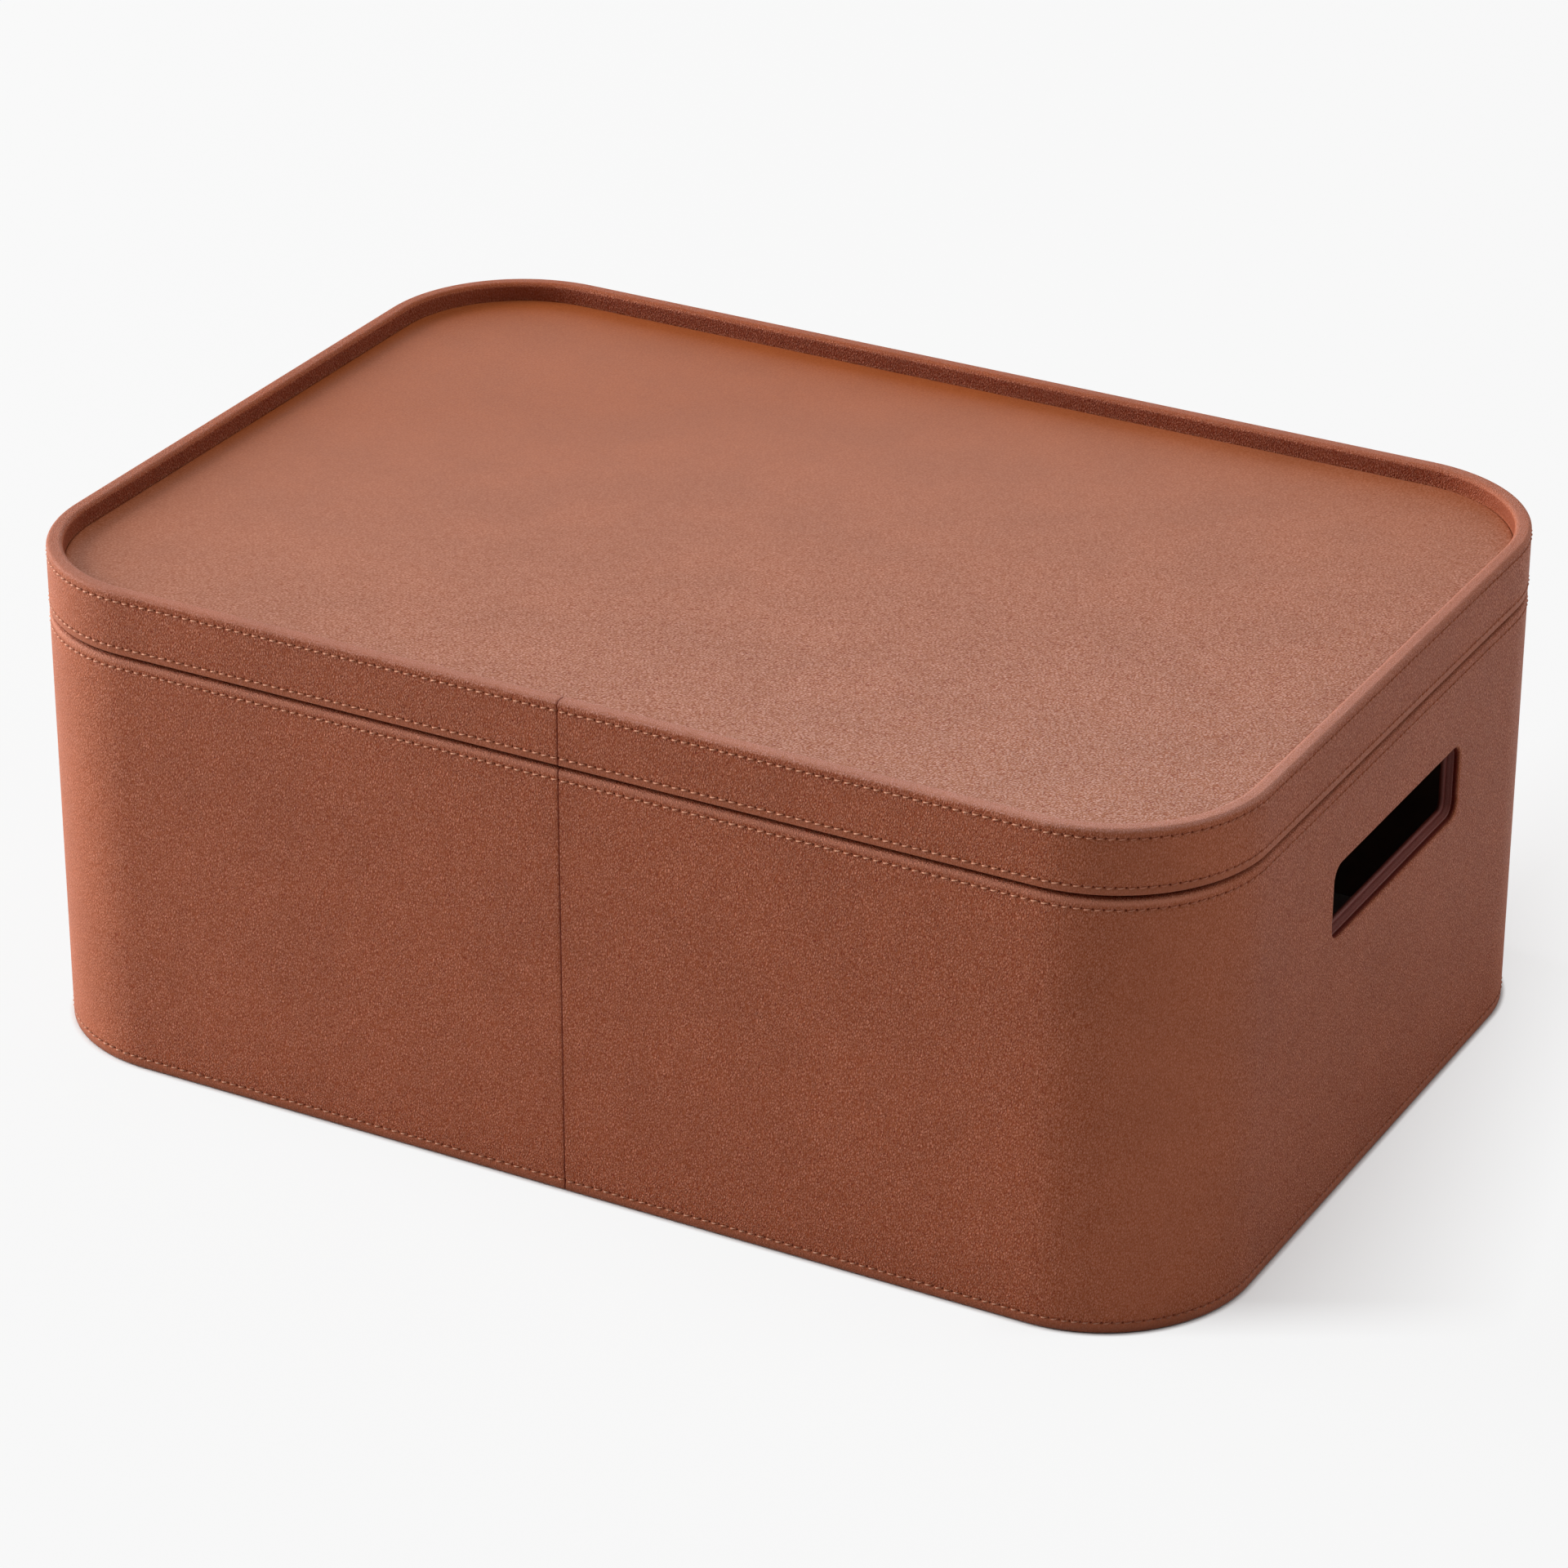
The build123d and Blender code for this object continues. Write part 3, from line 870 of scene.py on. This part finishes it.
def band_edges(graph, height, facing):
    """How far the grain is pressed flat, which it is along the edges outside the stitching; how much painted
    highlight the front shoulder under the lid gets; how far the leather has turned over the rim; how much
    painted shade darkens it at the lid's lower edge and near the floor."""
    lid_edge, foot = (
        graph.steps(height, row - press_below_row, row + press_above_row, 1.0, 0.0)
        for row in (lid_foot_row, body_foot_row)
    )
    lid_edge = graph.math("MULTIPLY", graph.steps(height, body_height, lid_foot), lid_edge)
    pressed = graph.math("MAXIMUM", lid_edge, foot)
    from_shoulder = graph.math("ABSOLUTE", graph.math("SUBTRACT", height, body_height - shoulder_drop))
    shoulder = graph.steps(from_shoulder, shoulder_core, shoulder_reach, shoulder_highlight_share, 0.0)
    at_front = graph.steps(graph.math("MULTIPLY", facing["Y"], -1.0), *shoulder_facing)
    shoulder_highlight = graph.math("MULTIPLY", shoulder, at_front)
    on_rim = graph.steps(height, lid_top - rim_turn_start, lid_top - rim_turn_end)
    # Painted shade near the floor and along the strip under the lid's lower edge
    near_floor = graph.steps(height, 0.0, foot_shade_height, foot_shade, 1.0)
    shade = graph.math("MULTIPLY_ADD", lid_edge, -lid_edge_shade, near_floor)
    return pressed, shoulder_highlight, on_rim, shade


def grain_relief(graph, here, grain, stretch, slant):
    """Height of the grain about its middle: domes between wandering creases, and finer wrinkles."""
    turned = tuple(math.radians(angle) for angle in slant)
    slanted = {"Vector": here, "Rotation": turned, "Scale": stretch}
    straight = graph.node("Mapping", slanted, vector_type="TEXTURE").outputs["Vector"]
    broad = {"Vector": straight, "Scale": wander_scale / grain, "Detail": 2.0}
    wander = graph.vector("SUBTRACT", graph.node("TexNoise", broad).outputs["Color"], (0.5, 0.5, 0.5))
    warped = graph.vector("ADD", straight, graph.scaled(wander, wander_reach * grain))
    cells = graph.node("TexVoronoi", {"Vector": warped, "Scale": 1 / grain}, feature="DISTANCE_TO_EDGE")
    domes = graph.steps(cells.outputs["Distance"], 0.0, dome_edge)
    wrinkles = graph.noise(straight, wrinkle_scale / grain, 3)
    relief = graph.math("MULTIPLY_ADD", wrinkles, wrinkle_share, graph.math("MULTIPLY", domes, dome_share))
    return graph.math("SUBTRACT", relief, relief_middle)


def leather_material(name, color, contrast, grain, depth, specular, stretch, slant, fading=None, edged=False):
    """Pebbled leather: small domes of about the grain size between fine creases, darker in the creases, with
    painted shade in stitch holes, along seams and in other hollows, and with slight cloudy changes of tone.
    The grain is flatter where the leather is stretched round the corners. Fading is the two distances towards
    the front right-hand corner between which the grain grows from faint to full, and how faint; with it the
    leather takes the panel colour with its painted sheen. Edged is for the bands, whose grain is pressed flat
    at their edges, with a painted highlight on the front shoulder under the lid, painted shade under the
    lid's lower edge and near the floor, and the panel's painted sheen where they turn over the rim."""
    graph = Graph(bpy.data.materials.new(name))
    here = graph.object_vector()
    facing = graph.parts(graph.node("NewGeometry").outputs["Normal"])
    turning = graph.math("ABSOLUTE", graph.math("MULTIPLY", facing["X"], facing["Y"]))
    strength = graph.math("MULTIPLY_ADD", turning, -corner_flattening, 1.0)
    along = graph.distance_along(here, front_right)
    # Painted sheen: the panel colour grows paler towards the front right-hand corner
    pale = graph.scaled(painted_sheen, graph.math("MAXIMUM", along, sheen_from))
    pale = graph.vector("MULTIPLY", graph.vector("ADD", pale, (1, 1, 1)), panel_color[:3])
    clouds = graph.steps(graph.noise(here, cloud_scale, 4, 0.6), 0.3, 0.7, *cloud_tones)
    base, shoulder_highlight = color[:3], 0.0
    if fading:
        low, high, faint = fading
        strength = graph.math("MULTIPLY", strength, graph.steps(along, low, high, faint, 1.0))
        base = pale
    if edged:
        pressed, shoulder_highlight, on_rim, shade = band_edges(graph, graph.parts(here)["Z"], facing)
        for share, flattening in ((pressed, pressed_flattening), (on_rim, rim_flattening)):
            left = graph.math("MULTIPLY_ADD", share, -flattening, 1.0)
            strength = graph.math("MULTIPLY", strength, left)
        # The cloudy tone also carries that painted shade
        clouds = graph.math("MULTIPLY", clouds, shade)
        # Where the band turns over the rim it takes that painted sheen, slightly warmed
        base = graph.mix(on_rim, color, graph.vector("MULTIPLY", pale, rim_warmth))
    relief = graph.math("MULTIPLY", grain_relief(graph, here, grain, stretch, slant), strength)
    tint = graph.scaled(grain_tint, graph.math("MULTIPLY", relief, contrast))
    tint = graph.vector("MAXIMUM", graph.vector("ADD", tint, (1, 1, 1)), darkest_tint)
    tone = graph.scaled(graph.vector("MULTIPLY", tint, base), clouds)
    # Painted highlight on the front shoulder under the lid
    tone = graph.mix(shoulder_highlight, tone, shoulder_highlight_color)
    # Painted shade, kept for each point of the mesh, darkens holes, grooves and hollows
    crease = graph.kept_value("crease")
    tone = graph.mix(graph.math("MULTIPLY", crease, crease_share), tone, crease_color)
    roughness = graph.math("MULTIPLY_ADD", relief, -dome_polish, leather_roughness)
    roughness = graph.math("MULTIPLY_ADD", crease, crease_roughness, roughness)
    return graph.finish(tone, roughness, relief, depth, Specular_IOR_Level=specular)


def cloth_material(name, color, light, scale, depth, sheen):
    """Short-napped suede or felt: fine fibres and brushed clouds of tone."""
    graph = Graph(bpy.data.materials.new(name))
    straight = graph.object_vector()
    fibres = graph.noise(straight, scale, 6, 0.7)
    brushed = graph.noise(straight, scale / 60, 4, 0.6)
    share = graph.math("MULTIPLY_ADD", brushed, 0.7, graph.math("MULTIPLY", fibres, 0.4))
    tone = graph.mix(graph.steps(share, 0.3, 0.85), color, light)
    constant = {"Sheen_Weight": sheen, "Sheen_Roughness": 0.45, "Specular_IOR_Level": 0.15}
    return graph.finish(tone, 0.92, fibres, depth, **constant)


def thread_material(name, color, painted_light_color, dark):
    """Waxed twisted thread: slanting strands with painted shade in the lines between them. It is lighter on
    the front and left sides, as painted light, and darker near the floor, as painted shade."""
    graph = Graph(bpy.data.materials.new(name))
    here = graph.object_vector()
    strands = graph.math("MULTIPLY", graph.kept_value("strand"), strands_per_stitch)
    # The dark lines between the strands are painted shade in the grooves of the twist
    lines = graph.steps(graph.math("PINGPONG", strands, 0.5), 0.0, strand_line)
    fuzz = graph.noise(here, fuzz_scale, 3)
    # Painted light: the thread is lighter on the front and left sides, where the lamp falls
    painted_light_share = graph.steps(graph.distance_along(here, front_left), painted_light_start, painted_light_end)
    light = graph.mix(painted_light_share, color, painted_light_color)
    share = graph.math("MULTIPLY_ADD", fuzz, fuzz_share, graph.math("MULTIPLY", lines, 1 - fuzz_share))
    # Painted shade: the thread darkens towards the floor
    shade_near_floor = graph.steps(graph.parts(here)["Z"], 0.0, thread_shade_height, thread_shade, 1.0)
    tone = graph.scaled(graph.mix(share, dark, light), shade_near_floor)
    return graph.finish(tone, 0.4, lines, strand_depth, Specular_IOR_Level=0.4)


def board_material(name, color, dark):
    """Fibreboard: pale matted fibres with darker flecks."""
    graph = Graph(bpy.data.materials.new(name))
    fibres = graph.noise(graph.object_vector((1, 1, 4)), 900, 6, 0.7)
    flecks = graph.steps(graph.noise(graph.object_vector(), 2200, 2), 0.6, 0.75)
    share = graph.math("MULTIPLY_ADD", flecks, 0.4, graph.math("MULTIPLY", fibres, 0.6))
    tone = graph.mix(share, color, dark)
    return graph.finish(tone, 0.85, fibres, 0.05 * mm, Specular_IOR_Level=0.2)


wall_leather = leather_material(
    "wall_leather",
    srgb(171, 97, 67),
    contrast=1.35,
    grain=0.6 * mm,
    depth=0.5 * mm,
    specular=0.17,
    stretch=(1, 1, 2),
    slant=(0, 14, 0),
    edged=True,
)
panel_leather = leather_material(
    "panel_leather",
    panel_color,
    contrast=1.3,
    grain=0.62 * mm,
    depth=0.2 * mm,
    specular=0.17,
    stretch=(1.9, 1.1, 1),
    slant=(0, 0, 33),
    fading=(-0.11, 0.12, 0.25),
)
liner_leather = leather_material(
    "liner_leather",
    srgb(108, 40, 26),
    contrast=0.5,
    grain=0.6 * mm,
    depth=0.15 * mm,
    specular=0.45,
    stretch=(1, 1, 1),
    slant=(0, 0, 0),
)
suede = cloth_material("suede", srgb(66, 34, 24), srgb(88, 50, 36), 4200, 0.12 * mm, 0.35)
felt = cloth_material("felt", srgb(52, 30, 22), srgb(70, 44, 34), 2600, 0.15 * mm, 0.2)
thread = thread_material("thread", srgb(186, 108, 76), srgb(255, 187, 150), srgb(150, 84, 58))
board = board_material("board", srgb(176, 146, 112), srgb(118, 90, 64))


def dress(piece, material, body, slot, *nodes):
    """Gives a piece its material and body, and hides the CAD nodes that it stands for."""
    piece.data.materials.append(material)
    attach(piece, body)
    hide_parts(*nodes)


for side, liner in slot_liners.items():
    dress(liner, liner_leather, "box_body", "liner_leather", f"{side}_slot_liner")
dress(body_leather, wall_leather, "box_body", "leather", "body_leather")
dress(lid_leather, wall_leather, "lid", "leather", "lid_band_leather")
dress(tray_leather, panel_leather, "lid", "leather", "lid_top_leather")
for row, stitches in stitching.items():
    dress(stitches, thread, "lid" if row.startswith("lid") else "box_body", "thread", f"{row}_stitching")
dress(wall_lining, suede, "box_body", "suede", "wall_lining")
dress(collar_suede, suede, "box_body", "suede", "collar_lining")
dress(floor_pad, suede, "box_body", "suede", "floor_lining")
dress(lid_suede, suede, "lid", "suede", "lid_lining")
dress(sole_felt, felt, "box_body", "sole_felt", "sole")

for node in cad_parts.values():
    if not node.hide_render:
        node.data.materials.clear()
        node.data.materials.append(board)


# Floor, light and camera

floor_size = 30
floor_tone = 0.83
floor_glow = 0.95
background = 0.94
ambient = 0.02
lamp_distance = 4
lamp_size = 2.5

# Painted shadow beside the right-hand end, where the floor glows less: the product of three even changes,
# each a direction, the two distances along it between which it changes, and its value at both. Also, how far
# from the box the floor stays dark, a painted contact shadow
floor_shade = (
    ((1, 0, 0), 0.15, 0.19, 0.0, 1.0),
    ((-0.478, 0.878, 0), -0.218, -0.196, 0.0, 1.0),
    ((1, 0.22, 0), 0.18, 0.28, 0.58, 0.0),
)
contact_reach = 1.9 * mm


def pale_floor():
    """A matt floor that also glows to the camera, so that it shows evenly pale. It glows less beside the
    right-hand end and not at all where the box touches it, which paints the shape of the shadow there and of
    a contact shadow."""
    bpy.ops.mesh.primitive_plane_add(size=floor_size)
    floor = bpy.context.active_object
    floor.name = "studio_floor"
    graph = Graph(bpy.data.materials.new("studio_floor"))
    here = graph.node("TexCoord").outputs["Object"]
    shade = 1.0
    for direction, low, high, at_low, at_high in floor_shade:
        along = graph.distance_along(here, direction)
        shade = graph.math("MULTIPLY", shade, graph.steps(along, low, high, at_low, at_high, "LINEAR"))
    corner_middle = (straight_half, straight_end / 2, 0)
    away = graph.vector("SUBTRACT", graph.vector("ABSOLUTE", here), corner_middle)
    away = graph.vector("MAXIMUM", away, (0, 0, 0))
    away = graph.node("VectorMath", {0: away}, operation="LENGTH").outputs["Value"]
    clear = graph.steps(away, corner_radius, corner_radius + contact_reach)
    glowing = graph.math("MULTIPLY", graph.math("SUBTRACT", floor_glow, shade), clear)
    seen = graph.math("MULTIPLY", graph.node("LightPath").outputs["Is Camera Ray"], glowing)
    matt = graph.node("BsdfDiffuse", {"Color": (floor_tone, floor_tone, floor_tone, 1)}).outputs["BSDF"]
    glow = graph.node("Emission", {"Color": (background, background, background, 1)}).outputs["Emission"]
    blend = graph.node("MixShader", {0: seen, 1: matt, 2: glow}).outputs["Shader"]
    graph.node("OutputMaterial", {"Surface": blend})
    floor.data.materials.append(graph.owner)


def studio_world():
    """An even background to the camera and in reflections, which gives the scene almost no light."""
    world = bpy.data.worlds.new("studio")
    bpy.context.scene.world = world
    graph = Graph(world)
    rays = graph.node("LightPath").outputs
    seen = graph.math("MAXIMUM", rays["Is Camera Ray"], rays["Is Glossy Ray"])
    seen = graph.math("MAXIMUM", seen, rays["Is Transmission Ray"])
    level = graph.steps(seen, 0.0, 1.0, ambient, background, "LINEAR")
    sky = graph.node("Background", {"Strength": level}).outputs["Background"]
    graph.node("OutputWorld", {"Surface": sky})


def softbox(name, azimuth, elevation, level):
    """A square lamp facing the box. Azimuth 0 is in front of it and 90 to its right, in degrees. Level is the
    light that it throws on a surface facing it, where 1 shows a colour as written."""
    side, lift = math.radians(azimuth), math.radians(elevation)
    towards = Vector((math.sin(side) * math.cos(lift), -math.cos(side) * math.cos(lift), math.sin(lift)))
    data = bpy.data.lights.new(name, "AREA")
    data.shape = "SQUARE"
    data.size = lamp_size
    data.energy = level * (math.pi * lamp_distance) ** 2
    lamp = bpy.data.objects.new(name, data)
    lamp.location = towards * lamp_distance + Vector((0, 0, body_height / 2))
    lamp.rotation_mode = "QUATERNION"
    lamp.rotation_quaternion = towards.to_track_quat("Z", "Y")
    bpy.context.scene.collection.objects.link(lamp)


pale_floor()
studio_world()
softbox("left", -82, 22, 1.5)
softbox("front_left", -30, 22, 0.09)
softbox("overhead", 0, 85, 0.44)
softbox("back_left", -150, 22, 0.2)
softbox("right", 120, 22, 0.31)

# Camera, found by fitting the outline, the lid gap and the front seam to the photograph
image_size = 1920
sensor = 36.0
view_azimuth = math.radians(28.5748)
view_elevation = math.radians(26.8566)
view_roll = math.radians(0.156)
view_distance = 4.5013 * box_length
view_right = -0.0054 * box_length
view_up = 0.1639 * box_length
focal_pixels = 6975.3
nearest_seen = 0.05
farthest_seen = 100


def studio_camera():
    """A camera aimed past the origin, by view_right and view_up as the camera sees them."""
    data = bpy.data.cameras.new("camera")
    data.sensor_width = sensor
    data.lens = sensor * focal_pixels / image_size
    data.clip_start = nearest_seen
    data.clip_end = farthest_seen
    back = Vector((
        math.sin(view_azimuth) * math.cos(view_elevation),
        -math.cos(view_azimuth) * math.cos(view_elevation),
        math.sin(view_elevation),
    ))
    right = Vector((math.cos(view_azimuth), math.sin(view_azimuth), 0))
    up = back.cross(right)
    rolled_right = math.cos(view_roll) * right + math.sin(view_roll) * up
    rolled_up = math.cos(view_roll) * up - math.sin(view_roll) * right
    turned = Matrix((rolled_right, rolled_up, back)).transposed().to_4x4()
    camera = bpy.data.objects.new("camera", data)
    stand = back * view_distance + right * view_right + up * view_up
    camera.matrix_world = Matrix.Translation(stand) @ turned
    bpy.context.scene.collection.objects.link(camera)
    bpy.context.scene.camera = camera


studio_camera()
bpy.context.scene.view_settings.view_transform = "Standard"
